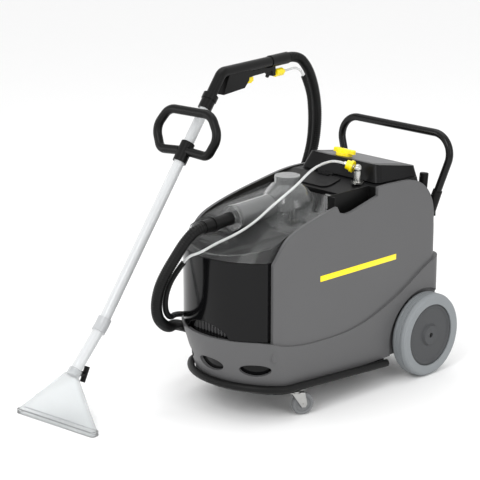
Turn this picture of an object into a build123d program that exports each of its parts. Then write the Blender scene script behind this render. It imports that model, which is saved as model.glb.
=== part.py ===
from build123d import *
import os
from math import atan2, degrees, hypot, pi, radians, tan

# A wheeled carpet cleaning machine with its hose and floor wand, in millimetres.
# +Z is up, the front of the machine faces -Y, and its right side is +X.
# The origin lies on the floor, midway between the wheels.

# ---------------------------------------------------------------- driving dimensions
# Moulded body
BODY_HALF_W = 213         # upper side wall, outside face
BAND_STEP = 8             # how far the lower band stands out from the upper wall
SIDE_WALL = 12            # thickness of the side walls
FLOOR_WALL = 8            # thickness of the floor, front and rear walls
BODY_FLOOR_Z = 96         # underside of the body
BELT_Z = 290              # top of the front chin, where the waste tank stands
FRONT_CORNER_Y = -494     # where the side walls end at the front
NOSE_Y = -603             # foremost point of the bowed front
UPPER_REAR_Y = 332
BAND_REAR_Y = 352
SHOULDER_R = 12           # plan radius where the side meets the bowed front
REAR_CORNER_R = 46
CHIN_BOTTOM_HALF_W = 207  # the chin draws in towards the floor
CHIN_BOTTOM_CORNER_Y = -430
CHIN_BOTTOM_NOSE_Y = -548
CHIN_BOTTOM_SHOULDER_R = 70
SIDE_OPENING_REAR_Y = 225  # the roof of the body begins behind this

# Wheels
REAR_AXLE_Y = 250
REAR_WHEEL_R = 150
REAR_WHEEL_W = 60
REAR_WHEEL_OUTER_X = 267
REAR_RIM_R = 112
REAR_AXLE_R = 10
ARCH_GAP = 13             # radial room around a rear wheel
CASTER_X = 196
CASTER_Y = -371
CASTER_WHEEL_R = 38
CASTER_WHEEL_W = 24
CASTER_TRAIL = 26
CASTER_AXLE_R = 4
RUNNING_GAP = 0.05        # radial clearance of a shaft in its bore
SIDE_GAP = 0.5            # axial clearance beside a wheel

# Waste tank, lid and suction inlet
TANK_WALL = 5
TANK_TOP_Z = 556
TANK_REAR_Y = -130
TANK_SIDE_GAP = 2
LID_WALL = 4
LID_RIM_Z = 562
LID_HINGE_Y = -92
LID_HINGE_Z = 688
LID_HINGE_R = 6
INLET_R = 41              # outside radius of the clear inlet tube
INLET_WALL = 3.5
INLET_FRONT = (0, -480, 667)
INLET_REAR = (0, -300, 676)
HOOD_R = 92               # radius of the clear float hood behind the inlet tube
HOOD_CENTRE = (0, -215, 660)

# Console
CONSOLE_FRONT_Z = 783
CONSOLE_REAR_Z = 752
CONSOLE_WALL = 4

# Push handle
HANDLE_TUBE_R = 13.5
HANDLE_TOP_Z = 858
HANDLE_TOP_Y = 338
HANDLE_FOOT_X = 196
HANDLE_FOOT_Y = 320.5
HANDLE_FOOT_Z = 606
HANDLE_SPREAD = 0.341     # how far each leg leans outwards per millimetre of height
HANDLE_CORNER_R = 72

# Bumper strip
BUMPER_R = 13
BUMPER_REAR_Y = 60
BUMPER_GAP = 2.3          # room between the strip and the chin
BUMPER_LEVEL_Z = 124      # height of the chin outline that the strip is drawn from
BUMPER_REAR_Z = 84
BUMPER_RISE = 0.062       # climb per millimetre towards the front
BASE_THICK = 10           # plate under the body

# Hoses (outside diameters)
SUCTION_HOSE_D = 38
SLEEVE_D = 20
SPRAY_HOSE_D = 9
CUFF_R = 22

# Wand
TUBE_R = 19
TUBE_WALL = 1.8
NOZZLE_X = -297           # middle of the suction lip, on the floor
NOZZLE_Y = -996
NOZZLE_W = 350
NOZZLE_DEPTH = 34
LIP_H = 15
WAND_TURN = 0.1112        # the wand's plane leans this far to -X per millimetre of +Y
CLAMP_L = 76
GRIP_R = TUBE_R + 0.5      # bent grip tube
GRIP_WALL = 3

os.makedirs("parts", exist_ok=True)
PARTS = {}


def keep(name, shape):
    """Store a finished sub-part under its node name."""
    PARTS[name] = shape
    return shape


# ---------------------------------------------------------------- small helpers
def rod(start, end, radius):
    """Solid round bar between two points."""
    start, end = Vector(*start), Vector(*end)
    axis = end - start
    return extrude(Plane(origin=start, z_dir=axis) * Circle(radius), amount=axis.length)


def pipe(start, end, outer_r, inner_r):
    """Round tube between two points."""
    return rod(start, end, outer_r) - rod(start, end, inner_r)


def taper(start, end, start_r, end_r):
    """Solid cone between two points."""
    start, end = Vector(*start), Vector(*end)
    axis = end - start
    plane = Plane(origin=start, z_dir=axis)
    low = (Align.CENTER, Align.CENTER, Align.MIN)
    return plane * Cone(start_r, end_r, axis.length, align=low)


def block(low, high):
    """Box between two opposite corners."""
    size = [h - l for l, h in zip(low, high)]
    centre = [(h + l) / 2 for l, h in zip(low, high)]
    return Pos(*centre) * Box(*size)


def along(start, end, share):
    """Point between two points."""
    return tuple(s + share * (e - s) for s, e in zip(start, end))


def beyond(start, end, distance):
    """Point past the end of a line, by a distance."""
    length = hypot(*[e - s for s, e in zip(start, end)])
    return along(start, end, 1 + distance / length)


def from_start(start, end, distance):
    """Point on a line, a distance from its start."""
    length = hypot(*[e - s for s, e in zip(start, end)])
    return along(start, end, distance / length)


def both_sides(shape):
    """A shape and its mirror image across the middle of the machine."""
    return shape + mirror(shape, about=Plane.YZ)


def plan(half_w, corner_y, nose_y, rear_y, shoulder_r, rear_r, z):
    """Plan outline at a height: bowed front, straight sides, rounded rear corners."""
    front = ThreePointArc((-half_w, corner_y), (0, nose_y), (half_w, corner_y))
    sides = Polyline((half_w, corner_y), (half_w, rear_y), (-half_w, rear_y), (-half_w, corner_y))
    face = make_face(front.edges() + sides.edges())
    face = fillet(face.vertices().group_by(Axis.Y)[-1], rear_r)
    corners = face.vertices().filter_by(lambda v: abs(v.Y - corner_y) < 0.01)
    return Pos(0, 0, z) * fillet(corners, shoulder_r)


def side_prism(outline, half_w):
    """Extrude an outline, drawn in the Y-Z plane, across the machine."""
    return extrude(Plane.YZ * make_face(outline), amount=half_w, both=True)


# ---------------------------------------------------------------- body
CREST = [(FRONT_CORNER_Y, 552), (-470, 580), (-439, 616), (-360, 654), (-239, 684), (-132, 704),
         (8, 724), (118, 724), (213, 711), (268, 674), (297, 628), (311, 552)]
SWOOSH = [(-494, 283), (-430, 262), (-353, 249), (-250, 243), (-147, 245), (-50, 260),
          (48, 291), (147, 333), (247, 387), (310, 414), (400, 421)]
HIGH = 900                # above everything on the body


def wheel_space(side, radius, inner_x):
    """Cylinder around a rear wheel, from an inner face outwards."""
    return rod((side * inner_x, REAR_AXLE_Y, REAR_WHEEL_R), (side * 300, REAR_AXLE_Y, REAR_WHEEL_R),
               radius)


def body_outer():
    """Outside form of the moulded body."""
    band_half_w = BODY_HALF_W + BAND_STEP
    belt_plan = plan(band_half_w, FRONT_CORNER_Y - 4, NOSE_Y - 4, BAND_REAR_Y, SHOULDER_R,
                     REAR_CORNER_R, BELT_Z)
    foot_plan = plan(CHIN_BOTTOM_HALF_W, CHIN_BOTTOM_CORNER_Y, CHIN_BOTTOM_NOSE_Y,
                     BAND_REAR_Y - 25, CHIN_BOTTOM_SHOULDER_R, REAR_CORNER_R, BODY_FLOOR_Z)
    chin = loft([foot_plan.faces()[0], belt_plan.faces()[0]])
    band = extrude(belt_plan, amount=160)
    swoosh = Spline(*SWOOSH)
    above = Polyline(SWOOSH[-1], (400, HIGH), (-700, HIGH), (-700, BELT_Z),
                     (SWOOSH[0][0] - 40, BELT_Z), SWOOSH[0])
    lower = chin + band - side_prism(swoosh.edges() + above.edges(), 400)
    upper_plan = plan(BODY_HALF_W, FRONT_CORNER_Y, NOSE_Y, UPPER_REAR_Y, SHOULDER_R,
                      REAR_CORNER_R - 10, BELT_Z - 70)
    crest = Spline(*CREST)
    rest = Polyline(CREST[-1], (UPPER_REAR_Y, 437), (UPPER_REAR_Y, BELT_Z - 70),
                    (FRONT_CORNER_Y, BELT_Z - 70), CREST[0])
    upper = extrude(upper_plan, amount=HIGH) & side_prism(crest.edges() + rest.edges(), 400)
    return lower + upper


def body_cavity():
    """Space inside the body, open at the top and at the tank's front."""
    inner_half_w = BODY_HALF_W - SIDE_WALL
    belt_plan = plan(inner_half_w, FRONT_CORNER_Y, NOSE_Y + FLOOR_WALL, UPPER_REAR_Y - FLOOR_WALL,
                     SHOULDER_R, REAR_CORNER_R - 20, BELT_Z)
    foot_plan = plan(CHIN_BOTTOM_HALF_W - SIDE_WALL, CHIN_BOTTOM_CORNER_Y,
                     CHIN_BOTTOM_NOSE_Y + FLOOR_WALL, BAND_REAR_Y - 35, CHIN_BOTTOM_SHOULDER_R,
                     REAR_CORNER_R - 20, BODY_FLOOR_Z + FLOOR_WALL)
    low = loft([foot_plan.faces()[0], belt_plan.faces()[0]])
    profile = Polyline((-700, BELT_Z), (-700, HIGH), (SIDE_OPENING_REAR_Y, HIGH),
                       (SIDE_OPENING_REAR_Y, 702), (258, 668), (287, 624), (301, 552),
                       (UPPER_REAR_Y - FLOOR_WALL, 437), (UPPER_REAR_Y - FLOOR_WALL, BELT_Z),
                       (-700, BELT_Z))
    high = extrude(belt_plan, amount=HIGH) & side_prism(profile.edges(), 400)
    space = low + high
    for side in (-1, 1):
        space -= wheel_space(side, REAR_WHEEL_R + ARCH_GAP + FLOOR_WALL, WHEEL_WELL_X - FLOOR_WALL)
    return space


WHEEL_WELL_X = REAR_WHEEL_OUTER_X - REAR_WHEEL_W - 8


def hand_hold(half_w):
    """Notch through the top of the right side wall, for a hand."""
    outline = Polyline((-196, HIGH), (-196, 694), (-182, 670), (-150, 660), (-118, 663), (8, 694),
                       (8, HIGH), (-196, HIGH))
    return side_prism(outline.edges(), half_w) - block((-half_w - 1, -400, 0), (0, 400, 2 * HIGH))


def chin_recesses():
    """Three shallow oval dishes in the front of the chin."""
    dishes = []
    for x, turn in ((-150, -38), (0, 0), (150, 38)):
        front_y = -566 + 0.0024 * x * x
        oval = Rot(0, 0, turn) * scale(Sphere(1), by=(56, 22, 27))
        dishes.append(Pos(x, front_y, 188) * oval)
    return dishes


def make_body():
    shell = body_outer() - body_cavity()
    front_gap = block((-BODY_HALF_W + SIDE_WALL, -700, BELT_Z), (BODY_HALF_W - SIDE_WALL, -440, HIGH))
    shell -= front_gap
    shell -= hand_hold(400)
    for side in (-1, 1):
        shell -= wheel_space(side, REAR_WHEEL_R + ARCH_GAP, WHEEL_WELL_X)
    for dish in chin_recesses():
        shell -= dish
    shell -= rod((-300, REAR_AXLE_Y, REAR_WHEEL_R), (300, REAR_AXLE_Y, REAR_WHEEL_R), REAR_AXLE_R)
    return keep("body_shell", shell)



BODY_FORM = body_outer()
make_body()


# ---------------------------------------------------------------- underbody
def make_underbody():
    """Base plate, rear axle, ballast blocks and bumper."""
    plate_z = BODY_FLOOR_Z - BASE_THICK
    outline = plan(CHIN_BOTTOM_HALF_W - 3, CHIN_BOTTOM_CORNER_Y + 14, CHIN_BOTTOM_NOSE_Y + 30, 80,
                   CHIN_BOTTOM_SHOULDER_R, 20, plate_z)
    keep("base_plate", extrude(outline, amount=BASE_THICK))
    end_x = REAR_WHEEL_OUTER_X - 12
    keep("rear_axle", rod((-end_x, REAR_AXLE_Y, REAR_WHEEL_R), (end_x, REAR_AXLE_Y, REAR_WHEEL_R),
                          REAR_AXLE_R))
    blocks = block((58, -340, plate_z - 26), (150, -130, plate_z))
    blocks += block((-78, -455, plate_z - 20), (18, -385, plate_z))
    blocks = fillet(blocks.edges().filter_by(Axis.Z), 12)
    keep("ballast_blocks", chamfer(blocks.faces().group_by(Axis.Z)[0].edges(), 8))
    keep("bumper", bumper_strip())


def bumper_strip():
    """Round strip that follows the chin and climbs towards the front."""
    share = (BUMPER_LEVEL_Z - BODY_FLOOR_Z) / (BELT_Z - BODY_FLOOR_Z)
    half_w = CHIN_BOTTOM_HALF_W + share * (BODY_HALF_W + BAND_STEP - CHIN_BOTTOM_HALF_W)
    corner_y = CHIN_BOTTOM_CORNER_Y + share * (FRONT_CORNER_Y - 4 - CHIN_BOTTOM_CORNER_Y)
    nose_y = CHIN_BOTTOM_NOSE_Y + share * (NOSE_Y - 4 - CHIN_BOTTOM_NOSE_Y)
    outline = plan(half_w, corner_y, nose_y, BUMPER_REAR_Y, CHIN_BOTTOM_SHOULDER_R, 1, 0)
    grown = offset(outline, amount=BUMPER_R + BUMPER_GAP, kind=Kind.ARC)
    run = grown.edges().filter_by(lambda e: e.center().Y < BUMPER_REAR_Y - 1)
    climb = Plane(origin=(0, 0, BUMPER_REAR_Z + BUMPER_RISE * BUMPER_REAR_Y), x_dir=(1, 0, 0),
                  z_dir=(0, BUMPER_RISE, 1))
    path = climb * Wire(run.sort_by_distance(Vertex(-300, BUMPER_REAR_Y, 0)))
    return sweep(Plane(origin=path @ 0, z_dir=path % 0) * Circle(BUMPER_R), path=path)


# ---------------------------------------------------------------- wheels
def ring_profile(points):
    """Turn an outline of (radius, width) points about the Y axis."""
    return revolve(make_face(Polyline(*points, points[0]).edges()), axis=Axis.Y)


def make_rear_wheel(side, name):
    """Tyre with raised ridges on a dished rim, turning on the fixed axle."""
    ridge = [(146, 4), (150, 12), (150, 19), (147, 21), (150, 23), (150, 37), (147, 39), (150, 41),
             (150, 48), (146, 56), (140, REAR_WHEEL_W), (REAR_RIM_R, REAR_WHEEL_W - 3)]
    tyre = ring_profile([(REAR_RIM_R, 3), (140, 0)] + ridge)
    bore = REAR_AXLE_R + RUNNING_GAP
    rim = ring_profile([(bore, 2), (34, 2), (34, 20), (92, 20), (98, 3), (REAR_RIM_R, 3),
                        (REAR_RIM_R, 52), (104, 55), (96, 50), (40, 50), (34, 58), (9, 58),
                        (9, 49), (bore, 49)])
    # the wheel is drawn about +Y with its inner face at 0, then laid on its side
    stand = Pos(side * (REAR_WHEEL_OUTER_X - REAR_WHEEL_W), REAR_AXLE_Y, REAR_WHEEL_R)
    turn = Rot(0, 0, -90 * side)
    keep(f"rear_tyre_{name}", stand * turn * tyre)
    keep(f"rear_rim_{name}", stand * turn * rim)


CASTER_TURN = {1: 25, -1: 12}   # degrees that each caster is swung, right and left


def make_caster(side, name):
    """Swivel fork with its kingpin and axle, and the wheel between its legs."""
    plate_z = BODY_FLOOR_Z - BASE_THICK
    half_gap = CASTER_WHEEL_W / 2 + SIDE_GAP
    crown_z = 2 * CASTER_WHEEL_R + 2
    kingpin = rod((0, 0, crown_z), (0, 0, plate_z - 1), 6)
    crown = extrude(Pos(0, 0, crown_z) * Circle(20), amount=3)
    crown += block((-half_gap - 3, -14, crown_z), (half_gap + 3, CASTER_TRAIN_END, crown_z + 3))
    leg = Polyline((-16, crown_z + 3), (CASTER_TRAIN_END, crown_z + 3), (CASTER_TRAIL + 12, 38),
                   (CASTER_TRAIL + 6, 28), (CASTER_TRAIL - 6, 28), (-16, crown_z + 3))
    leg = Pos(half_gap, 0, 0) * extrude(Plane.YZ * make_face(leg.edges()), amount=3)
    axle = rod((-half_gap - 6, CASTER_TRAIL, CASTER_WHEEL_R), (half_gap + 6, CASTER_TRAIL, CASTER_WHEEL_R),
               CASTER_AXLE_R)
    fork = kingpin + crown + both_sides(leg) + axle
    bore = CASTER_AXLE_R + RUNNING_GAP
    half_w = CASTER_WHEEL_W / 2
    core = ring_profile([(bore, -half_w), (12, -half_w), (14, -6), (25, -6), (27, -9), (28, -9),
                         (28, 9), (27, 9), (25, 6), (14, 6), (12, half_w), (bore, half_w)])
    tyre = ring_profile([(28, -9), (34, -11), (CASTER_WHEEL_R, -6), (CASTER_WHEEL_R, 6), (34, 11),
                         (28, 9)])
    wheel = Pos(0, CASTER_TRAIL, CASTER_WHEEL_R) * Rot(0, 0, 90) * Compound(children=[core, tyre])
    place = Pos(side * CASTER_X, CASTER_Y, 0) * Rot(0, 0, -side * CASTER_TURN[side])
    keep(f"caster_fork_{name}", place * fork)
    keep(f"caster_wheel_{name}", place * wheel)


CASTER_TRAIN_END = CASTER_TRAIL + 4


def make_caster_plates():
    """Screw-on plates with the bearing boss that each kingpin turns in."""
    plate_z = BODY_FLOOR_Z - BASE_THICK
    plate = block((CASTER_X - 34, CASTER_Y - 26, plate_z - 3), (CASTER_X + 12, CASTER_Y + 26, plate_z))
    boss = rod((CASTER_X, CASTER_Y, plate_z - 5), (CASTER_X, CASTER_Y, plate_z), 17)
    pin_hole = rod((CASTER_X, CASTER_Y, 0), (CASTER_X, CASTER_Y, plate_z - 0.5), 6 + RUNNING_GAP)
    keep("caster_plates", both_sides(plate + boss - pin_hole))


make_underbody()
for side, name in ((1, "right"), (-1, "left")):
    make_rear_wheel(side, name)
    make_caster(side, name)
make_caster_plates()


# ---------------------------------------------------------------- tanks
def bow_y(x):
    """Place of the bowed front at a distance from the middle."""
    rise = FRONT_CORNER_Y - NOSE_Y
    radius = (BODY_HALF_W ** 2 + rise ** 2) / (2 * rise)
    return NOSE_Y + radius - (radius ** 2 - x ** 2) ** 0.5


def tank_form(inset, low_z, high_z, rear_y):
    """Waste tank outline, drawn in by a wall, between two heights."""
    half_w = BODY_HALF_W - SIDE_WALL - TANK_SIDE_GAP - inset
    outline = plan(half_w, bow_y(half_w) + inset, NOSE_Y + inset, rear_y - inset, 8, 28, low_z)
    return extrude(outline, amount=high_z - low_z)


def grip_arch(grow, depth):
    """Arched pocket low in the front of the waste tank."""
    arch = Pos(0, BELT_Z) * Ellipse(96 + grow, 46 + grow)
    return extrude(Plane.XZ.offset(-NOSE_Y - depth) * arch, amount=depth + 80)


def make_tanks():
    shelf_z = BELT_Z + 0.3
    waste = tank_form(0, shelf_z, TANK_TOP_Z, TANK_REAR_Y)
    hollow = tank_form(TANK_WALL, shelf_z + TANK_WALL, TANK_TOP_Z + 10, TANK_REAR_Y)
    hollow -= grip_arch(TANK_WALL, 46 + TANK_WALL)
    waste -= hollow
    waste -= grip_arch(0, 46)
    keep("waste_tank", waste)
    back = Plane.XZ.offset(-NOSE_Y - 46) * (Pos(0, BELT_Z) * Ellipse(95, 45))
    insert = extrude(back, amount=4)
    for step in range(-5, 6):
        insert += block((step * 15 - 3, NOSE_Y + 36, BELT_Z), (step * 15 + 3, NOSE_Y + 43, BELT_Z + 60))
    trim = extrude(Plane.XZ.offset(-NOSE_Y - 46) * (Pos(0, BELT_Z) * Ellipse(95, 45)), amount=12)
    above_shelf = block((-200, -700, shelf_z + 0.1), (200, 0, BELT_Z + 60))
    keep("tank_grip", insert & trim & above_shelf)

    gap = 1.5
    half_w = BODY_HALF_W - SIDE_WALL - gap
    rear_y = 62
    outer = fresh_form(gap, BODY_FLOOR_Z + FLOOR_WALL + 0.2, BELT_Z, rear_y, half_w)
    inner = fresh_form(gap + 4, BODY_FLOOR_Z + FLOOR_WALL + 4, BELT_Z - 4, rear_y - 4, half_w - 4)
    mouth = rod((FILLER_X, FILLER_Y, BELT_Z - 10), (FILLER_X, FILLER_Y, BELT_Z + 10), FILLER_R - 3)
    keep("fresh_tank", outer - inner - mouth)


FILLER_X = -42
FILLER_Y = -24
FILLER_R = 26


def fresh_form(gap, low_z, high_z, rear_y, half_w):
    """Loft that follows the inside of the chin, drawn in by a gap."""
    share = (low_z - BODY_FLOOR_Z) / (BELT_Z - BODY_FLOOR_Z)
    foot_half_w = CHIN_BOTTOM_HALF_W - SIDE_WALL - gap
    foot_corner = CHIN_BOTTOM_CORNER_Y + gap
    foot_nose = CHIN_BOTTOM_NOSE_Y + FLOOR_WALL + gap
    low = plan(foot_half_w + share * (half_w - foot_half_w), foot_corner, foot_nose, rear_y,
               CHIN_BOTTOM_SHOULDER_R, 20, low_z)
    high = plan(half_w, FRONT_CORNER_Y + gap, NOSE_Y + FLOOR_WALL + gap, rear_y,
                SHOULDER_R, 20, high_z)
    return loft([low.faces()[0], high.faces()[0]])


make_tanks()


# ---------------------------------------------------------------- lid and suction inlet
LID_CREST = [(-640, 560), (-600, 570), (-540, 588), (-470, 610), (-400, 636), (-330, 655),
             (-239, 671), (-132, 686), (-100, 690)]


def lid_form(inset, low_z):
    """Lid's outside form: a steep bowed front under a gently rising top."""
    half_w = BODY_HALF_W - SIDE_WALL - TANK_SIDE_GAP - 1 - inset
    rear_y = LID_CREST[-1][0] - inset
    foot = plan(half_w, bow_y(half_w) + inset, NOSE_Y + 1 + inset, rear_y, 8, 6, LID_RIM_Z - 3)
    crown = plan(half_w - 4, bow_y(half_w) + 112 + inset, NOSE_Y + 113 + inset, rear_y, 8, 6,
                 LID_RIM_Z + 157)
    form = loft([foot.faces()[0], crown.faces()[0]])
    crest = Polyline(*[(y, z - inset) for y, z in LID_CREST])
    under = Polyline((LID_CREST[-1][0], LID_CREST[-1][1] - inset), (LID_CREST[-1][0], low_z),
                     (LID_CREST[0][0], low_z), (LID_CREST[0][0], LID_CREST[0][1] - inset))
    return form & side_prism(crest.edges() + under.edges(), 400)


def hood_form(inset):
    """Float hood: a globe with a chimney, fed by a cone from the inlet tube."""
    globe = Pos(*HOOD_CENTRE) * Sphere(HOOD_R - inset)
    x, y, z = HOOD_CENTRE
    chimney = rod((x, y, z), (x, y, z + 108 - inset), 44 - inset)
    mouth = beyond(INLET_FRONT, INLET_REAR, 60)
    cone = taper(INLET_REAR, mouth, INLET_R - inset, HOOD_R * 0.8 - inset)
    return globe + chimney + cone


def lid_knuckles():
    """Barrels on the lid that turn on the hinge pins."""
    barrel = rod((66, LID_HINGE_Y, LID_HINGE_Z), (104, LID_HINGE_Y, LID_HINGE_Z), LID_HINGE_R)
    web = block((66, LID_CREST[-1][0] - 3, LID_HINGE_Z - 6), (104, LID_HINGE_Y, LID_HINGE_Z + 1))
    bore = rod((60, LID_HINGE_Y, LID_HINGE_Z), (110, LID_HINGE_Y, LID_HINGE_Z), 3 + RUNNING_GAP)
    return both_sides(barrel + web - bore)


def make_lid():
    low_z = LID_RIM_Z - 3
    cover = lid_form(0, low_z) - lid_form(LID_WALL, low_z - 1)
    notch = block((164, -200, 500), (240, 0, 760))
    cover -= notch
    hood = hood_form(0)
    tube_run = rod(INLET_FRONT, INLET_REAR, INLET_R)
    cover -= hood + tube_run
    cover += lid_knuckles()
    keep("lid_cover", cover)
    shell = hood - hood_form(INLET_WALL) - tube_run
    shell -= rod(INLET_FRONT, beyond(INLET_FRONT, INLET_REAR, 80), INLET_R - INLET_WALL)
    x, y, z = HOOD_CENTRE
    shell -= rod((x, y, z - 120), (x, y, z - 70), 46)
    keep("float_hood", shell)
    flange = pipe(INLET_FRONT, along(INLET_FRONT, INLET_REAR, 0.06), INLET_R + 2, CUFF_R - 2.4)
    keep("inlet_tube", pipe(INLET_FRONT, INLET_REAR, INLET_R, INLET_R - INLET_WALL) + flange)
    filter_start = along(INLET_FRONT, INLET_REAR, 0.12)
    filter_end = along(INLET_FRONT, INLET_REAR, 0.98)
    screen = pipe(filter_start, filter_end, INLET_R - INLET_WALL - 0.3, INLET_R - INLET_WALL - 2)
    keep("lint_filter", screen)
    cup_z = z - 75.2
    cup = rod((x, y, cup_z - 3), (x, y, cup_z), 45.8) - rod((x, y, cup_z - 4), (x, y, cup_z + 1), 15)
    for step in range(3):
        post = rod((x, y + 36, cup_z - 1), (x, y + 36, cup_z + 62), 2.5)
        cup += Pos(x, y, 0) * Rot(0, 0, 120 * step) * Pos(-x, -y, 0) * post
    keep("float_cage", cup)
    ball_r = 24
    ball_z = cup_z + (ball_r ** 2 - 15 ** 2) ** 0.5 + 0.3
    keep("float_ball", Pos(x, y, ball_z) * Sphere(ball_r))
    plug_axis = (0.79, -0.45, -0.42)
    start = tuple(c + a * (HOOD_R - 6) for c, a in zip(HOOD_CENTRE, plug_axis))
    end = tuple(c + a * (HOOD_R + 4) for c, a in zip(HOOD_CENTRE, plug_axis))
    plug = rod(start, end, 19)
    keep("hood_plug", plug - Pos(*HOOD_CENTRE) * Sphere(HOOD_R))
    seal = tank_form(0.5, TANK_TOP_Z, LID_RIM_Z - 3, TANK_REAR_Y) - tank_form(
        TANK_WALL - 0.5, TANK_TOP_Z - 1, LID_RIM_Z, TANK_REAR_Y)
    keep("lid_seal", seal)
    pin = rod((64, LID_HINGE_Y, LID_HINGE_Z), (128, LID_HINGE_Y, LID_HINGE_Z), 3)
    keep("hinge_pins", both_sides(pin))


make_lid()


# ---------------------------------------------------------------- deck, filler and console
DECK_FRONT_Y = -84
DECK_TOP = [(DECK_FRONT_Y, 700), (18, 722), (SIDE_OPENING_REAR_Y - 0.5, 722)]
DECK_THICK = 6


def make_deck():
    half_w = BODY_HALF_W - SIDE_WALL - 0.2
    top = Polyline(*DECK_TOP, (DECK_TOP[-1][0], 650), (DECK_FRONT_Y, 650), DECK_TOP[0])
    inner = Polyline((DECK_FRONT_Y + 5, 640), (DECK_FRONT_Y + 5, DECK_TOP[0][1] - 5.5),
                     (18, 722 - DECK_THICK), (DECK_TOP[-1][0] - 5, 722 - DECK_THICK),
                     (DECK_TOP[-1][0] - 5, 640), (DECK_FRONT_Y + 5, 640))
    deck = side_prism(top.edges(), half_w) - side_prism(inner.edges(), half_w - 5)
    liner_space = block((LINER_INNER_X, -200, 600), (300, 9, 800))
    deck -= liner_space
    hole = extrude(Pos(FILLER_X, FILLER_Y, 600) * RectangleRounded(FLAP_W - 40, FLAP_D - 34, 14),
                   amount=200)
    deck -= hole
    neck = pipe((FILLER_X, FILLER_Y, BELT_Z), (FILLER_X, FILLER_Y, 690), FILLER_R, FILLER_R - 3)
    funnel = loft([(Pos(FILLER_X, FILLER_Y, 690) * Circle(FILLER_R)).faces()[0],
                   (Pos(FILLER_X, FILLER_Y, 712) * Circle(FILLER_R + 8)).faces()[0]])
    funnel_in = loft([(Pos(FILLER_X, FILLER_Y, 689) * Circle(FILLER_R - 3)).faces()[0],
                      (Pos(FILLER_X, FILLER_Y, 713) * Circle(FILLER_R + 5)).faces()[0]])
    under_deck = side_prism(inner.edges(), half_w)
    neck += (funnel - funnel_in) & under_deck
    keep("filler_neck", neck)
    barrel_y, barrel_z = FLAP_HINGE
    ears = rod((FILLER_X - 34, barrel_y, barrel_z), (FILLER_X + 34, barrel_y, barrel_z), 4.5)
    ears += block((FILLER_X - 34, barrel_y - 4.5, 720), (FILLER_X + 34, barrel_y + 4.5, barrel_z))
    ears -= block((FILLER_X - 24.5, 0, 715), (FILLER_X + 24.5, 40, 760))
    deck += ears
    for x0, x1 in ((105, 128), (-128, -105)):
        post = rod((x0, LID_HINGE_Y, LID_HINGE_Z), (x1, LID_HINGE_Y, LID_HINGE_Z), LID_HINGE_R)
        web = block((x0, LID_HINGE_Y, LID_HINGE_Z - 6), (x1, DECK_FRONT_Y + 1, LID_HINGE_Z + 2))
        deck += post + web
        deck -= rod((x0 - 5, LID_HINGE_Y, LID_HINGE_Z), (x1 + 5, LID_HINGE_Y, LID_HINGE_Z), 3.0)
    keep("top_deck", deck)

    slope = degrees(atan2(22, 102))
    flap = extrude(RectangleRounded(FLAP_W, FLAP_D, 30), amount=4)
    flap = Pos(FILLER_X, FILLER_Y, 712.9 + 0.3) * Rot(slope, 0, 0) * flap
    pin = rod((FILLER_X - 36, barrel_y, barrel_z), (FILLER_X + 36, barrel_y, barrel_z), 1.6)
    knuckle = rod((FILLER_X - 24, barrel_y, barrel_z), (FILLER_X + 24, barrel_y, barrel_z), 4.2)
    knuckle += block((FILLER_X - 24, barrel_y - 14, barrel_z - 3.2),
                     (FILLER_X + 24, barrel_y, barrel_z + 1))
    flap = flap - block((-300, barrel_y - 5.5, 600), (300, 60, 800)) + knuckle
    keep("filler_flap", flap + pin)
    PARTS["top_deck"] -= rod((FILLER_X - 36.5, barrel_y, barrel_z), (FILLER_X + 36.5, barrel_y, barrel_z),
                             1.6 + RUNNING_GAP)

    liner = block((LINER_INNER_X, -196, 646), (half_w, 8, 722))
    liner -= block((LINER_INNER_X + 3, -193, 650), (half_w + 10, 5, 900))
    keep("hand_hold_liner", liner)


LINER_INNER_X = BODY_HALF_W - 44
FLAP_W = 170
FLAP_D = 92
FLAP_HINGE = (20, 727.5)      # (y, z) of the flap's pin
CONSOLE_TOP_HALF_W = 156


def console_form(inset):
    """Console housing: a box that draws in upwards, under a top that falls to the rear."""
    foot_w = 2 * (198 - inset)
    foot_d = 226 - 2 * inset
    top_w = 2 * (CONSOLE_TOP_HALF_W - inset)
    top_d = 188 - 2 * inset
    foot = Pos(0, 139, 690) * RectangleRounded(foot_w, foot_d, 22 - inset)
    head = Pos(0, 158, 792) * RectangleRounded(top_w, top_d, 22 - inset)
    form = loft([foot.faces()[0], head.faces()[0]])
    fall = (CONSOLE_FRONT_Z - CONSOLE_REAR_Z) / 186
    top = Polyline((-20, CONSOLE_FRONT_Z - inset + 84 * fall), (300, CONSOLE_FRONT_Z - inset - 236 * fall),
                   (300, 600), (-20, 600), (-20, CONSOLE_FRONT_Z - inset + 84 * fall))
    return form & side_prism(top.edges(), 400)


def console_plane(x, y, lift):
    """Place on the sloping console top, raised by a height."""
    fall = (CONSOLE_FRONT_Z - CONSOLE_REAR_Z) / 186
    z = CONSOLE_FRONT_Z - (y - 64) * fall
    return Pos(x, y, z) * Rot(-degrees(atan2(fall, 1)), 0, 0) * Pos(0, 0, lift)


KNOB_X = -34
KNOB_Y = 104


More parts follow.
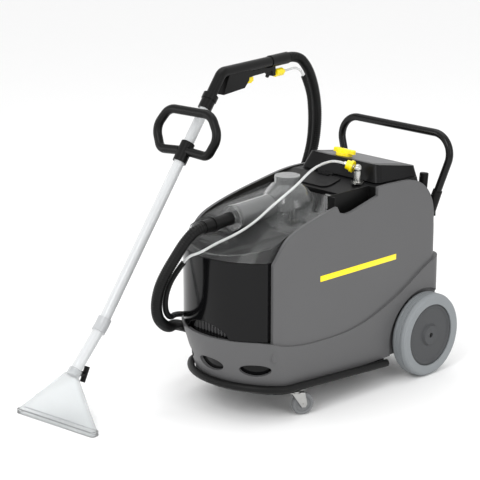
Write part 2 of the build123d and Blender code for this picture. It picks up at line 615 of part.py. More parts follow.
def make_console():
    deck_space = block((-300, -300, 0), (300, 300, 722.2))
    housing = console_form(0) - console_form(CONSOLE_WALL) - deck_space
    housing += console_form(0) & block((-300, SIDE_OPENING_REAR_Y + 0.5, 0), (300, 300, 726))
    housing -= BODY_FORM
    pocket = console_plane(0, 158, -2) * extrude(RectangleRounded(262, 160, 10), amount=20)
    housing -= pocket
    spindle_hole = console_plane(KNOB_X, KNOB_Y, -30) * extrude(Circle(6.1), amount=60)
    housing -= spindle_hole
    keep("console", housing)
    panel = console_plane(0, 158, -2) * extrude(RectangleRounded(261, 159, 9.5), amount=2.5)
    keep("control_panel", panel - spindle_hole)
    knob = extrude(Circle(30), amount=11) + extrude(Pos(0, 0, 10) * RectangleRounded(96, 24, 11), amount=15)
    knob = chamfer(knob.faces().sort_by(Axis.Z)[-1].edges(), 3)
    knob += extrude(Pos(0, 0, -16) * Circle(6), amount=17)
    keep("selector_knob", console_plane(KNOB_X, KNOB_Y, 1) * knob)
    foot = (POST[0], POST[1], DECK_TOP[1][1] + 0.1)
    post = rod(foot, POST, 13) + rod(foot, (POST[0], POST[1], foot[2] + 6), 22)
    post += Pos(*POST) * Sphere(15)
    post += rod(POST, along(POST, POST_TIP, 1.0), 9)
    keep("coupling_post", post)
    collar = pipe(along(POST, POST_TIP, 0.34), along(POST, POST_TIP, 0.8), 16.5, 9 + RUNNING_GAP)
    ridge = pipe(along(POST, POST_TIP, 0.34), along(POST, POST_TIP, 0.5), 20.5, 9 + RUNNING_GAP)
    collar += ridge
    cut = Pos(*POST) * Sphere(15.3)
    keep("coupling_collar", collar - cut)


POST = (119, 6, 774)
POST_TIP = (73, -10, 786)

make_deck()
make_console()


# ---------------------------------------------------------------- machinery inside
def make_machinery():
    floor_z = BODY_FLOOR_Z + FLOOR_WALL
    turbine = rod((0, 152, floor_z), (0, 152, floor_z + 90), 76)
    turbine += rod((0, 152, floor_z + 90), (0, 152, floor_z + 150), 56)
    keep("suction_turbine", turbine)
    keep("suction_duct", rod((0, 152, floor_z + 150), (0, 152, 716), 26)
         - rod((0, 152, floor_z + 155), (0, 152, 720), 23))
    pump = block((-62, 263, floor_z), (20, 307, floor_z + 70))
    pump += rod((20, 285, floor_z + 35), (66, 285, floor_z + 35), 20)
    keep("spray_pump", pump)


make_machinery()


# ---------------------------------------------------------------- push handle and rear fittings
def make_handle():
    lean = (HANDLE_TOP_Y - HANDLE_FOOT_Y) / (HANDLE_TOP_Z - HANDLE_FOOT_Z)
    plane = Plane(origin=(0, HANDLE_FOOT_Y, HANDLE_FOOT_Z), x_dir=(1, 0, 0), z_dir=(0, -1, lean))
    height = (HANDLE_TOP_Z - HANDLE_FOOT_Z) * hypot(1, lean)
    top_half_w = HANDLE_FOOT_X + HANDLE_SPREAD * height
    flat = FilletPolyline((-HANDLE_FOOT_X, 0), (-top_half_w, height), (top_half_w, height),
                          (HANDLE_FOOT_X, 0), radius=HANDLE_CORNER_R)
    path = plane * flat
    start = Plane(origin=path @ 0, z_dir=path % 0)
    keep("push_handle", sweep(start * Circle(HANDLE_TUBE_R), path=path))
    foot = tuple(path @ 1)
    up = tuple((path @ 1) - (path % 1) * 60)
    bore = rod(foot, along(foot, up, 2), HANDLE_TUBE_R + 0.02)
    body = taper(along(foot, up, -0.5), along(foot, up, 0.9), 19, 17)
    foot_block = block((HANDLE_FOOT_X - 40, 262, HANDLE_FOOT_Z - 44),
                       (HANDLE_FOOT_X + 6, HANDLE_FOOT_Y + 15, HANDLE_FOOT_Z + 24))
    foot_block = fillet(foot_block.edges().filter_by(Axis.Z), 8)
    mount = foot_block + body - bore - BODY_FORM
    bolts = rod((HANDLE_FOOT_X - 18, HANDLE_FOOT_Y + 11, HANDLE_FOOT_Z - 30),
                (HANDLE_FOOT_X - 18, HANDLE_FOOT_Y + 20, HANDLE_FOOT_Z - 30), 7)
    keep("handle_mounts", both_sides(mount + bolts))
    hook = rod((158, 250, 632), (158, 306, 668), 13)
    hook += rod((158, 308, 660), (158, 314, 714), 16)
    hook = fillet(hook.edges().sort_by(Axis.Z)[-1:], 4)
    keep("cable_hook", hook - BODY_FORM)
    gland = rod((0, UPPER_REAR_Y - 24, 500), (0, UPPER_REAR_Y + 8, 500), 17)
    gland += taper((0, UPPER_REAR_Y + 8, 500), (0, UPPER_REAR_Y + 26, 500), 13, 9)
    gland -= rod((0, UPPER_REAR_Y + 2, 500), (0, UPPER_REAR_Y + 40, 500), 4.2)
    keep("mains_gland", gland - BODY_FORM)


make_handle()


# ---------------------------------------------------------------- wand
def wand_point(y, z):
    """Point in the wand's upright plane."""
    return (NOZZLE_X - WAND_TURN * (y - NOZZLE_Y), y, z)


WAND_SLOPE = 1.2277       # climb of the upper tube per millimetre of +Y
COLLAR_TOP = wand_point(-205, 986.5)


def on_tube(y):
    """Point on the upper tube's axis."""
    return wand_point(y, COLLAR_TOP[2] + WAND_SLOPE * (y - COLLAR_TOP[1]))


TUBE_BEND = on_tube(-775)
WAND_FOOT = wand_point(-921, 146)
WAND_ELBOW = on_tube(-147.6)
GRIP_END = wand_point(150, 1059)
WAND_NORMAL = Vector(1, WAND_TURN, 0).normalized()
CLAMP_CENTRE = on_tube(-352)


def wand_plate(outline, thickness):
    """Flat plate in the wand's plane, from an outline of (y, z) points."""
    points = [wand_point(y, z) for y, z in outline]
    face = make_face(Polyline(*points, points[0]).edges())
    return extrude(face, amount=thickness / 2, dir=tuple(WAND_NORMAL), both=True)


def make_nozzle():
    axis = Vector(*TUBE_BEND) - Vector(*WAND_FOOT)
    mouth = Plane(origin=(NOZZLE_X, NOZZLE_Y, LIP_H), x_dir=WAND_NORMAL, z_dir=(0, 0, 1))
    neck = Plane(origin=WAND_FOOT, x_dir=WAND_NORMAL, z_dir=axis)

    def hood(inset):
        low = mouth * RectangleRounded(NOZZLE_W - 2 * inset, NOZZLE_DEPTH - 4 - 2 * inset, 9 - inset)
        high = neck * RectangleRounded(54 - 2 * inset, 48 - 2 * inset, 20 - inset)
        return loft([low.faces()[0], high.faces()[0]])

    body = hood(0) - hood(3)
    body += pipe(WAND_FOOT, beyond(TUBE_BEND, WAND_FOOT, -26), 23.5, TUBE_R + 0.02)
    keep("nozzle_body", body)
    frame = RectangleRounded(NOZZLE_W + 8, NOZZLE_DEPTH, 10) - RectangleRounded(
        NOZZLE_W - 14, NOZZLE_DEPTH - 14, 7)
    sole = Plane(origin=(NOZZLE_X, NOZZLE_Y, 0), x_dir=WAND_NORMAL, z_dir=(0, 0, 1))
    keep("nozzle_lip", extrude(sole * frame, amount=LIP_H))
    jet = rod(wand_point(-905, 152), wand_point(-862, 138), 9)
    jet += rod(wand_point(-848, 160), wand_point(-874, 112), 9.5)
    solid_neck = rod(WAND_FOOT, beyond(TUBE_BEND, WAND_FOOT, -40), 23.5) + hood(0)
    keep("spray_jet", jet - solid_neck)


def make_wand():
    bore_r = TUBE_R - TUBE_WALL
    foot_in = from_start(WAND_FOOT, TUBE_BEND, 1)
    foot_out = from_start(TUBE_BEND, WAND_FOOT, 4)
    keep("lower_tube", pipe(foot_in, foot_out, TUBE_R, bore_r))
    upper_in = from_start(TUBE_BEND, COLLAR_TOP, 4)
    upper_out = from_start(COLLAR_TOP, TUBE_BEND, 30)
    keep("upper_tube", pipe(upper_in, upper_out, TUBE_R, bore_r))
    sleeve = rod(TUBE_BEND, from_start(TUBE_BEND, COLLAR_TOP, 26), 24)
    sleeve += rod(TUBE_BEND, from_start(TUBE_BEND, WAND_FOOT, 26), 24)
    sleeve += Pos(*TUBE_BEND) * Sphere(24)
    for far in (COLLAR_TOP, WAND_FOOT):
        sleeve -= rod(from_start(TUBE_BEND, far, 4), from_start(TUBE_BEND, far, 60), TUBE_R + 0.02)
        sleeve -= rod(TUBE_BEND, from_start(TUBE_BEND, far, 60), bore_r)
    keep("tube_joint", sleeve - Pos(*TUBE_BEND) * Sphere(bore_r))
    collar_foot = from_start(COLLAR_TOP, TUBE_BEND, 58)
    collar = rod(collar_foot, COLLAR_TOP, 25) + rod(from_start(COLLAR_TOP, TUBE_BEND, 22), COLLAR_TOP, 28)
    collar -= rod(collar_foot, upper_out, TUBE_R + 0.02) + rod(upper_out, COLLAR_TOP, GRIP_R + 0.02)
    keep("wand_collar", collar)
    path = FilletPolyline(upper_out, WAND_ELBOW, GRIP_END, radius=34)
    start = Plane(origin=path @ 0, z_dir=path % 0)
    grip_solid = sweep(start * Circle(GRIP_R), path=path)
    keep("grip_tube", grip_solid - sweep(start * Circle(GRIP_R - GRIP_WALL), path=path))

    box = wand_plate([(-122, 1050), (-8, 1050), (-16, 1012), (-40, 988), (-156, 980)], 34)
    beam = wand_plate([(-20, 1050), (142, 1050), (142, 1006), (126, 1006), (124, 1026), (-20, 1021)], 22)
    tail = wand_plate([(92, 1030), (112, 1030), (116, 1008), (108, 1001), (100, 1006), (104, 1014),
                       (94, 1024)], 8)
    tube_space = sweep(start * Circle(GRIP_R + 0.1), path=path)
    collar_space = rod(collar_foot, COLLAR_TOP, 28.3)
    pocket = wand_plate([(-36, 1018.6), (24, 1020.6), (26, 1005), (8, 996.5), (-36, 998.5)], 17)
    cuff_space = rod(along(GRIP_END, WAND_ELBOW, 0.2), GRIP_END, CUFF_R + 0.1)
    housing = box + beam + tail - tube_space - collar_space - cuff_space - pocket
    keep("trigger_housing", housing.solids().sort_by(SortBy.VOLUME)[-1])
    button = wand_plate([(-27, 1018), (18, 1019.4), (20, 1006), (6, 998), (-27, 1000)], 16)
    keep("trigger_button", button)
    nut = rod(wand_point(142.05, 1013), wand_point(168, 1013), 7)
    nut += rod(wand_point(150, 1013), wand_point(190, 1013), 15)
    nut += rod(wand_point(190, 1013), wand_point(203, 1013), 8)
    keep("grip_coupling", nut)


def make_d_handle():
    upright = Vector(-0.0268, 0.241, 0.970)
    face_dir = WAND_NORMAL.cross(upright)
    plane = Plane(origin=CLAMP_CENTRE, x_dir=WAND_NORMAL, z_dir=face_dir)
    loop = FilletPolyline((-18, 6), (-108, 0), (-143, 72), (-96, 144), (96, 144), (143, 72), (108, 0),
                          (18, 6), radius=[28, 60, 52, 52, 60, 28])
    path = plane * loop
    handle = sweep(Plane(origin=path @ 0, z_dir=path % 0) * Circle(16), path=path)
    low = from_start(CLAMP_CENTRE, TUBE_BEND, CLAMP_L / 2)
    high = from_start(CLAMP_CENTRE, COLLAR_TOP, CLAMP_L / 2)
    handle += rod(low, high, 25)
    keep("d_handle", handle - rod(low, high, TUBE_R + RUNNING_GAP))


make_nozzle()
make_wand()
make_d_handle()


# ---------------------------------------------------------------- hoses
# Each route is the list of corners of its centre line. The ribbed suction hose leaves the lid's
# inlet, drops in front of the tank, runs low along the left side and climbs to the wand's grip.
GRIP_CUFF_END = (-430, 218, 1060)
SUCTION_ROUTE = [
    (0, -606, 659.14), (0, -640, 657.02), (-20, -668, 618), (-43, -684, 572), (-65, -706, 520),
    (-87, -721, 464), (-99, -727, 404), (-108, -714, 350), (-119, -675, 311), (-149, -622, 286),
    (-203, -563, 266), (-266, -482, 234), (-306, -376, 184), (-317, -255, 122), (-327, -120, 82),
    (-337, 15, 84), (-347, 130, 134), (-357, 206, 222), (-368, 246, 320), (-380, 259, 415),
    (-392, 270, 510), (-404, 291, 598), (-414, 325, 658), (-420, 359, 706), (-425, 378, 784),
    (-428, 380, 862), (-430, 363, 942), (-431, 331, 1012), (-435.6, 282, 1060.9),
    (-430, 218, 1060)]
SLEEVE_ROUTE = [
    (-47, -650, 540), (-66, -668, 505), (-84, -685, 458), (-95, -691, 408), (-104, -680, 364),
    (-121, -651, 337), (-156, -606, 317), (-211, -546, 298), (-264, -455, 268), (-298, -346, 216),
    (-311, -232, 156), (-320, -108, 118), (-329, 12, 122), (-339, 108, 168), (-349, 172, 244),
    (-360, 209, 332), (-372, 222, 424), (-384, 233, 518), (-396, 255, 608), (-401, 288, 668),
    (-405, 313, 722), (-408, 326, 786), (-412, 329, 856), (-418, 325, 926), (-425, 302, 982)]


def meet(route, distance):
    """Point in line with the first run of a route, ahead of its start."""
    return beyond(route[1], route[0], distance)


SPRAY_ROUTE = [
    POST_TIP, beyond(POST, POST_TIP, 34), (46, -92, 795), (71, -177, 789), (93, -265, 758),
    (100, -338, 732), (90, -388, 702), (75, -443, 661), (50, -501, 627), (17, -569, 600),
    (-10, -612, 572), meet(SLEEVE_ROUTE, 28), meet(SLEEVE_ROUTE, 0.3)]
GRIP_SPRAY_ROUTE = [
    (-430.2, 203.6, 1013), (-432.8, 226.8, 1013), (-434, 252, 1016), (-432, 275, 1014),
    meet(SLEEVE_ROUTE[::-1], 22), meet(SLEEVE_ROUTE[::-1], 0.3)]


def hose(name, route, diameter):
    """Solid tube along straight runs joined by tangent arcs, each as large as its runs allow."""
    points = [Vector(*p) for p in route]
    runs = [b - a for a, b in zip(points, points[1:])]
    radii = []
    for before, after in zip(runs, runs[1:]):
        half_turn = radians(before.get_angle(after)) / 2
        radii.append(0.45 * min(before.length, after.length) / tan(half_turn))
    path = FilletPolyline(*route, radius=radii)
    tube = sweep(Plane(origin=path @ 0, z_dir=path % 0) * Circle(diameter / 2), path=path)
    share = tube.volume / (pi * diameter ** 2 / 4 * path.length)
    print(f"{name}: length {path.length:.0f}, volume ratio {share:.4f}, radii in diameters",
          *[f"{radius / diameter:.1f}" for radius in radii])
    return keep(name, tube)


def make_hoses():
    hose("suction_hose", SUCTION_ROUTE, SUCTION_HOSE_D)
    hose("spray_sleeve", SLEEVE_ROUTE, SLEEVE_D)
    hose("spray_hose", SPRAY_ROUTE, SPRAY_HOSE_D)
    hose("grip_spray_hose", GRIP_SPRAY_ROUTE, SPRAY_HOSE_D)
    front = from_start(SUCTION_ROUTE[0], INLET_FRONT, 0.05)
    inside = beyond(front, INLET_FRONT, 30)
    cuff = rod(front, inside, CUFF_R - 3) + rod(front, beyond(front, INLET_FRONT, -4), CUFF_R)
    cuff += rod(from_start(front, INLET_FRONT, 40), from_start(front, INLET_FRONT, 52), CUFF_R + 3)
    keep("hose_cuff", cuff - rod(front, inside, CUFF_R - 6))
    grip_in = from_start(GRIP_END, WAND_ELBOW, 30)
    cuff_end = beyond(GRIP_END, GRIP_CUFF_END, -0.1)
    nozzle = rod(grip_in, GRIP_END, CUFF_R) + rod(GRIP_END, cuff_end, CUFF_R)
    nozzle -= rod(GRIP_END, beyond(GRIP_END, cuff_end, 1), CUFF_R - 6)
    nozzle -= rod(beyond(GRIP_END, grip_in, 1), beyond(WAND_ELBOW, GRIP_END, 0.05), GRIP_R + 0.02)
    keep("grip_cuff", nozzle)


make_hoses()
for name, shape in PARTS.items():
    export_step(shape, f"parts/{name}.step")
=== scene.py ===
import math

import bmesh
import bpy
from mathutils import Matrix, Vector


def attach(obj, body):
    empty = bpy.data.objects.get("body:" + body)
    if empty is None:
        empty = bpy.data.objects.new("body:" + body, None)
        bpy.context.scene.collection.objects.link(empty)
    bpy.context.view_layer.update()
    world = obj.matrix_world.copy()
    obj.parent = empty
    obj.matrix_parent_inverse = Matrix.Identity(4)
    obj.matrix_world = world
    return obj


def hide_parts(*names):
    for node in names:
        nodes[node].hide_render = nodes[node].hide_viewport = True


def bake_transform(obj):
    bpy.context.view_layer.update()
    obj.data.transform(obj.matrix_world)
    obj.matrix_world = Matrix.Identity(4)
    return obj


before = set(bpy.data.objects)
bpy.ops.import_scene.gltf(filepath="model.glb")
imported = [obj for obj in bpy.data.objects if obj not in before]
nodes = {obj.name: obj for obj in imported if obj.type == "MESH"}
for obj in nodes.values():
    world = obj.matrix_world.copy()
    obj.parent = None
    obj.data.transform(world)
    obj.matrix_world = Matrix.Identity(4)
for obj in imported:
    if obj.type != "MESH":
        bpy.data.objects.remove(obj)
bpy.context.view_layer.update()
scene = bpy.context.scene

# ---------------------------------------------------------------- camera
camera = bpy.data.objects.new("camera", bpy.data.cameras.new("camera"))
scene.collection.objects.link(camera)
camera.location = (4.07677, -4.40227, 2.20927)
camera.rotation_euler = Vector((-0.68936, 0.67026, -0.27484)).to_track_quat("-Z", "Y").to_euler()
camera.data.lens = 133.45
camera.data.sensor_width = 36
camera.data.clip_end = 60
scene.camera = camera


# ---------------------------------------------------------------- materials
def material(name, color, roughness=0.5, metallic=0.0, grain=0.0, grain_scale=400.0, mottle=0.0,
             mottle_scale=6.0, rough_var=0.06, coat=0.0, transmission=0.0, ior=1.45, alpha=1.0,
             bevel=0.0, specular=0.5):
    """Procedural finish: colour mottle, roughness variation, moulded grain and softened edges."""
    mat = bpy.data.materials.new(name)
    mat.use_nodes = True
    tree = mat.node_tree
    shader = tree.nodes["Principled BSDF"]
    make = tree.nodes.new
    link = tree.links.new
    shader.inputs["Metallic"].default_value = metallic
    shader.inputs["IOR"].default_value = ior
    shader.inputs["Transmission Weight"].default_value = transmission
    shader.inputs["Alpha"].default_value = alpha
    shader.inputs["Coat Weight"].default_value = coat
    shader.inputs["Coat Roughness"].default_value = 0.08
    shader.inputs["Specular IOR Level"].default_value = specular
    place = make("ShaderNodeTexCoord").outputs["Object"]
    cloud = make("ShaderNodeTexNoise")
    cloud.inputs["Scale"].default_value = mottle_scale
    cloud.inputs["Detail"].default_value = 4
    link(place, cloud.inputs["Vector"])
    tint = make("ShaderNodeMix")
    tint.data_type = "RGBA"
    tint.inputs["A"].default_value = [c * (1 - mottle) for c in color] + [1]
    tint.inputs["B"].default_value = [min(1, c * (1 + mottle)) for c in color] + [1]
    link(cloud.outputs["Fac"], tint.inputs["Factor"])
    link(tint.outputs["Result"], shader.inputs["Base Color"])
    spread = make("ShaderNodeMapRange")
    spread.inputs["To Min"].default_value = max(0.02, roughness - rough_var)
    spread.inputs["To Max"].default_value = min(1, roughness + rough_var)
    link(cloud.outputs["Fac"], spread.inputs["Value"])
    link(spread.outputs["Result"], shader.inputs["Roughness"])
    normal = None
    if bevel:
        soft = make("ShaderNodeBevel")
        soft.samples = 4
        soft.inputs["Radius"].default_value = bevel
        normal = soft.outputs["Normal"]
    if grain:
        fine = make("ShaderNodeTexNoise")
        fine.inputs["Scale"].default_value = grain_scale
        fine.inputs["Detail"].default_value = 2
        link(place, fine.inputs["Vector"])
        bump = make("ShaderNodeBump")
        bump.inputs["Strength"].default_value = grain
        bump.inputs["Distance"].default_value = 0.0006
        link(fine.outputs["Fac"], bump.inputs["Height"])
        if normal:
            link(normal, bump.inputs["Normal"])
        normal = bump.outputs["Normal"]
    if normal:
        link(normal, shader.inputs["Normal"])
    return mat


GREY = material("grey_shell", (0.1, 0.1, 0.102), 0.42, specular=0.3, grain=0.25, mottle=0.05, bevel=0.003)
BLACK = material("black_moulding", (0.005, 0.005, 0.005), 0.42, specular=0.16, grain=0.25, mottle=0.2,
                 bevel=0.0015)
TANK = material("tank_black", (0.003, 0.003, 0.0033), 0.14, grain=0.03, mottle=0.2, specular=0.22,
                rough_var=0.03, bevel=0.002)
DECK = material("deck_black", (0.006, 0.006, 0.0063), 0.34, specular=0.16, grain=0.15, mottle=0.15,
                bevel=0.002)
PANEL = material("panel_grey", (0.1, 0.1, 0.105), 0.4, grain=0.3, mottle=0.08)
RUBBER = material("rubber_black", (0.005, 0.005, 0.005), 0.45, specular=0.2, grain=0.3, mottle=0.2)
TYRE = material("tyre_grey", (0.22, 0.235, 0.245), 0.55, grain=0.4, mottle=0.08, mottle_scale=12)
RIM = material("rim_grey", (0.06, 0.062, 0.065), 0.5, specular=0.3, grain=0.35, mottle=0.06, bevel=0.002)
CASTER = material("caster_grey", (0.16, 0.165, 0.17), 0.5, grain=0.2, mottle=0.1)
ZINC = material("zinc_steel", (0.42, 0.42, 0.41), 0.32, metallic=1, grain=0.1, mottle=0.15,
                mottle_scale=60)
CLEAR = material("clear_cover", (0.8, 0.81, 0.81), 0.06, transmission=0.97, ior=1.18, mottle=0.04,
                 rough_var=0.03)
FROST = material("clear_hood", (0.6, 0.61, 0.61), 0.12, transmission=0.9, ior=1.3, mottle=0.06,
                 rough_var=0.03, coat=0.3)
FILTER = material("filter_mesh", (0.3, 0.3, 0.3), 0.6, grain=1.0, grain_scale=900)
BALL = material("float_ball", (0.015, 0.015, 0.015), 0.4, grain=0.1)
YELLOW = material("yellow_plastic", (1.0, 0.78, 0.0), 0.28, grain=0.08, mottle=0.03, coat=0.3,
                  bevel=0.001)
BRASS = material("coupling_metal", (0.5, 0.5, 0.48), 0.25, metallic=1, mottle=0.1)
TUBE = material("handle_paint", (0.004, 0.004, 0.004), 0.2, specular=0.25, grain=0.05, mottle=0.2)
HOSE = material("hose_black", (0.004, 0.004, 0.004), 0.34, specular=0.2, grain=0.15, mottle=0.25)
HOSE_CLEAR = material("hose_clear", (0.82, 0.83, 0.83), 0.1, transmission=0.45, ior=1.4, mottle=0.03,
                      coat=0.3)
NOZZLE = material("nozzle_clear", (0.86, 0.875, 0.88), 0.1, transmission=0.8, ior=1.25, mottle=0.04)
WAND = material("wand_translucent", (0.72, 0.735, 0.745), 0.16, transmission=0.25, ior=1.4,
                mottle=0.03, coat=0.4)
JOINT = material("joint_grey", (0.42, 0.43, 0.44), 0.3, grain=0.1, mottle=0.05, coat=0.2)
GRIP = material("grip_black", (0.004, 0.004, 0.004), 0.32, specular=0.2, grain=0.2, mottle=0.2, bevel=0.0015)

# painted shade: near-black colour standing in for the shadow inside the grey shell
PAINTED_SHADE_INSIDE = material("shell_inside_painted_shade", (0.016, 0.015, 0.014), 0.5, grain=0.25, mottle=0.15, specular=0.25)

FINISH = {
    GREY: "body_shell ballast_blocks tank_grip",
    BLACK: "base_plate hand_hold_liner cable_hook mains_gland handle_mounts",
    TANK: "waste_tank fresh_tank filler_neck",
    DECK: "top_deck filler_flap console",
    PANEL: "control_panel",
    RUBBER: "bumper lid_seal hood_plug",
    TYRE: "rear_tyre_right rear_tyre_left",
    RIM: "rear_rim_right rear_rim_left",
    CASTER: "caster_wheel_right caster_wheel_left",
    ZINC: "caster_fork_right caster_fork_left caster_plates rear_axle hinge_pins",
    CLEAR: "lid_cover",
    FROST: "float_hood inlet_tube",
    FILTER: "lint_filter float_cage",
    BALL: "float_ball suction_turbine suction_duct spray_pump",
    YELLOW: "selector_knob coupling_collar trigger_button grip_coupling",
    BRASS: "coupling_post",
    TUBE: "push_handle",
    HOSE: "suction_hose hose_cuff grip_cuff spray_sleeve",
    HOSE_CLEAR: "spray_hose grip_spray_hose",
    NOZZLE: "nozzle_body nozzle_lip",
    WAND: "lower_tube upper_tube",
    JOINT: "tube_joint",
    GRIP: "wand_collar grip_tube trigger_housing d_handle spray_jet",
}
for finish, names in FINISH.items():
    for name in names.split():
        mesh = nodes[name].data
        mesh.materials.clear()
        mesh.materials.append(finish)


# painted shade: the grey shell's inner faces, behind the lid and the tanks, are given a near-black colour
shell = nodes["body_shell"].data
shell.materials.append(PAINTED_SHADE_INSIDE)
for face in shell.polygons:
    x, y, z = face.center
    inward = face.normal.x * x < -0.3 * abs(x) or (face.normal.y > 0.3 and y < -0.4)
    if inward and abs(x) < 0.2025 and z > 0.2:
        face.material_index = 1


# ---------------------------------------------------------------- hoses
def route_line(route):
    """Points along the smooth line that a route's corners control."""
    curve = bpy.data.curves.new("route", "CURVE")
    curve.dimensions = "3D"
    spline = curve.splines.new("NURBS")
    spline.points.add(len(route) - 1)
    for point, spot in zip(spline.points, route):
        point.co = [c / 1000 for c in spot] + [1]
    spline.order_u = 3
    spline.use_endpoint_u = True
    spline.resolution_u = 24
    holder = bpy.data.objects.new("route", curve)
    scene.collection.objects.link(holder)
    mesh = bpy.data.meshes.new_from_object(holder)
    points = [v.co.copy() for v in mesh.vertices]
    bpy.data.objects.remove(holder)
    return points


def evenly(points, step):
    """The same line with points a step apart, and its length."""
    reach = [0.0]
    for a, b in zip(points, points[1:]):
        reach.append(reach[-1] + (b - a).length)
    count = max(2, round(reach[-1] / step))
    out, k = [], 0
    for i in range(count + 1):
        s = reach[-1] * i / count
        while k < len(points) - 2 and reach[k + 1] < s:
            k += 1
        span = reach[k + 1] - reach[k] or 1
        out.append(points[k].lerp(points[k + 1], min(1, (s - reach[k]) / span)))
    return out, reach[-1]


def tube_mesh(name, points, radius, sides, finish):
    """Mesh tube whose radius is a function of the ring's number."""
    mesh = bpy.data.meshes.new(name)
    verts, faces = [], []
    side = None
    for i, p in enumerate(points):
        ahead = (points[min(i + 1, len(points) - 1)] - points[max(i - 1, 0)]).normalized()
        if side is None:
            side = ahead.orthogonal().normalized()
        side = (side - ahead * side.dot(ahead)).normalized()
        up = ahead.cross(side)
        r = radius(i)
        for k in range(sides):
            turn = 2 * math.pi * k / sides
            verts.append(p + side * math.cos(turn) * r + up * math.sin(turn) * r)
    for i in range(len(points) - 1):
        for k in range(sides):
            a, b = i * sides + k, i * sides + (k + 1) % sides
            faces.append((a, b, b + sides, a + sides))
    faces.append(tuple(reversed(range(sides))))
    faces.append(tuple(range(len(verts) - sides, len(verts))))
    mesh.from_pydata(verts, [], faces)
    for face in mesh.polygons:
        face.use_smooth = True
    mesh.materials.append(finish)
    piece = bpy.data.objects.new(name, mesh)
    scene.collection.objects.link(piece)
    return piece


def from_end(start, end, distance):
    """Point in line with a run, past its end (or short of it)."""
    s, e = Vector(start), Vector(end)
    return tuple(e + (e - s).normalized() * distance)


POST, POST_TIP = (119, 6, 774), (73, -10, 786)
GRIP_END, GRIP_CUFF_END = (-424.427, 150, 1059), (-430, 218, 1060)
SUCTION_ROUTE = [
    (0, -606, 659.14), (0, -640, 657.02), (-20, -668, 618), (-43, -684, 572), (-65, -706, 520),
    (-87, -721, 464), (-99, -727, 404), (-108, -714, 350), (-119, -675, 311), (-149, -622, 286),
    (-203, -563, 266), (-266, -482, 234), (-306, -376, 184), (-317, -255, 122), (-327, -120, 82),
    (-337, 15, 84), (-347, 130, 134), (-357, 206, 222), (-368, 246, 320), (-380, 259, 415),
    (-392, 270, 510), (-404, 291, 598), (-414, 325, 658), (-420, 359, 706), (-425, 378, 784),
    (-428, 380, 862), (-430, 363, 942), (-431, 331, 1012), from_end(GRIP_END, GRIP_CUFF_END, 64),
    GRIP_CUFF_END]
SLEEVE_ROUTE = [
    (-47, -650, 540), (-66, -668, 505), (-84, -685, 458), (-95, -691, 408), (-104, -680, 364),
    (-121, -651, 337), (-156, -606, 317), (-211, -546, 298), (-264, -455, 268), (-298, -346, 216),
    (-311, -232, 156), (-320, -108, 118), (-329, 12, 122), (-339, 108, 168), (-349, 172, 244),
    (-360, 209, 332), (-372, 222, 424), (-384, 233, 518), (-396, 255, 608), (-401, 288, 668),
    (-405, 313, 722), (-408, 326, 786), (-412, 329, 856), (-418, 325, 926), (-425, 302, 982)]
SPRAY_ROUTE = [
    POST_TIP, from_end(POST, POST_TIP, 34), (46, -92, 795), (71, -177, 789), (93, -265, 758),
    (100, -338, 732), (90, -388, 702), (75, -443, 661), (50, -501, 627), (17, -569, 600),
    (-10, -612, 572), from_end(SLEEVE_ROUTE[1], SLEEVE_ROUTE[0], 28),
    from_end(SLEEVE_ROUTE[1], SLEEVE_ROUTE[0], 0.3)]
GRIP_SPRAY_ROUTE = [
    (-430.2, 203.6, 1013), (-432.8, 226.8, 1013), (-434, 252, 1016), (-432, 275, 1014),
    from_end(SLEEVE_ROUTE[-2], SLEEVE_ROUTE[-1], 22), from_end(SLEEVE_ROUTE[-2], SLEEVE_ROUTE[-1], 0.3)]


def hose(name, route, diameter, step, waves, sides, finish, node, lid_part):
    """Ribbed or plain hose along its route."""
    points, length = evenly(route_line(route), step)
    depth = 0.0017 if waves else 0
    radius = lambda i: diameter / 2 - (depth if waves and i % waves >= waves // 2 else 0)
    piece = tube_mesh(name, points, radius, sides, finish)
    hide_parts(node)
    if lid_part:
        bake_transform(piece)
    else:
        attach(piece, "chassis")
    return piece


hose("ribbed_suction_hose", SUCTION_ROUTE, 0.038, 0.002, 4, 28, HOSE, "suction_hose",
     ((0, -0.62, 0.66), (-0.09, -0.72, 0.42)))
hose("hose_sleeve", SLEEVE_ROUTE, 0.020, 0.0015, 4, 16, HOSE, "spray_sleeve",
     ((-0.04, -0.65, 0.54), (-0.1, -0.69, 0.4)))
hose("clear_spray_hose", SPRAY_ROUTE, 0.009, 0.004, 0, 14, HOSE_CLEAR, "spray_hose",
     ((-0.03, -0.64, 0.57), (0.06, -0.05, 0.79)))
hose("clear_grip_hose", GRIP_SPRAY_ROUTE, 0.009, 0.004, 0, 14, HOSE_CLEAR, "grip_spray_hose",
     None)


# ---------------------------------------------------------------- small pieces
SHARP_DEGREES = 35


def new_piece(name, bm, finish, body):
    """Object from a finished bmesh that rides on a body."""
    mesh = bpy.data.meshes.new(name)
    bm.normal_update()
    bm.to_mesh(mesh)
    bm.free()
    mesh.materials.append(finish)
    mesh.shade_smooth()
    mesh.set_sharp_from_angle(angle=math.radians(SHARP_DEGREES))
    piece = bpy.data.objects.new(name, mesh)
    scene.collection.objects.link(piece)
    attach(piece, body)
    return piece


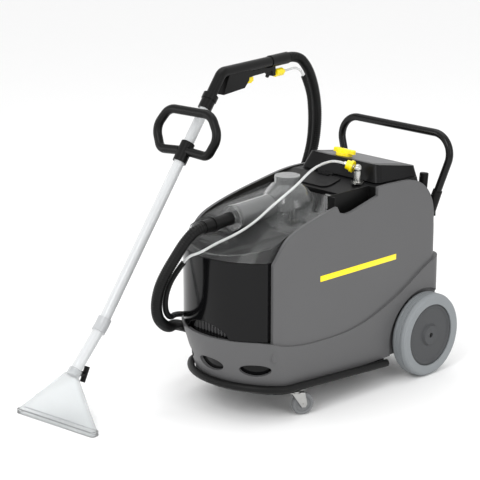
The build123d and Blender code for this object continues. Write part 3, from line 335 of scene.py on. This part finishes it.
def slab(bm, center, size, soft):
    """Box with softened edges."""
    made = bmesh.ops.create_cube(bm, size=1)["verts"]
    bmesh.ops.scale(bm, vec=size, verts=made)
    bmesh.ops.translate(bm, vec=center, verts=made)
    edges = {e for v in made for e in v.link_edges}
    bmesh.ops.bevel(bm, geom=list(edges), offset=soft, segments=3, affect="EDGES", profile=0.5)


STRIPE_X = 0.2132          # just outside the side walls


def stripe(name, x):
    bm = bmesh.new()
    slab(bm, (x, -0.082, 0.459), (0.0012, 0.382, 0.020), soft=0.0005)
    new_piece(name, bm, YELLOW, "chassis")


stripe("side_stripe_right", STRIPE_X)
stripe("side_stripe_left", -STRIPE_X)


# ---------------------------------------------------------------- floor and light
def plane(name, size, location, color):
    mesh = bpy.data.meshes.new(name)
    h = size / 2
    mesh.from_pydata([(-h, -h, 0), (h, -h, 0), (h, h, 0), (-h, h, 0)], [], [(0, 1, 2, 3)])
    mesh.materials.append(material(name, color, 0.7, mottle=0.005))
    obj = bpy.data.objects.new(name, mesh)
    obj.location = location
    scene.collection.objects.link(obj)
    return obj


plane("floor", 60, (0, 0, 0), (0.93, 0.93, 0.93))
world = bpy.data.worlds.new("studio")
scene.world = world
world.use_nodes = True
world.node_tree.nodes["Background"].inputs["Color"].default_value = (1, 1, 1, 1)
world.node_tree.nodes["Background"].inputs["Strength"].default_value = 1.0


def lamp(name, location, target, size, power):
    light = bpy.data.lights.new(name, "AREA")
    light.shape = "RECTANGLE"
    light.size, light.size_y = size
    light.energy = power
    obj = bpy.data.objects.new(name, light)
    obj.location = location
    obj.rotation_euler = (Vector(target) - Vector(location)).to_track_quat("-Z", "Y").to_euler()
    scene.collection.objects.link(obj)


lamp("key", (1.2, -3.6, 3.2), (0, -0.2, 0.4), (1.6, 2.2), 60)
lamp("side", (3.8, -0.4, 1.8), (0, 0, 0.4), (1.2, 2.4), 26)
lamp("strip", (-2.6, -3.4, 1.3), (0, -0.5, 0.45), (0.35, 2.2), 18)
lamp("top", (-0.5, 0.2, 4.2), (0, 0, 0.5), (3.0, 3.0), 40)

scene.view_settings.view_transform = "Standard"
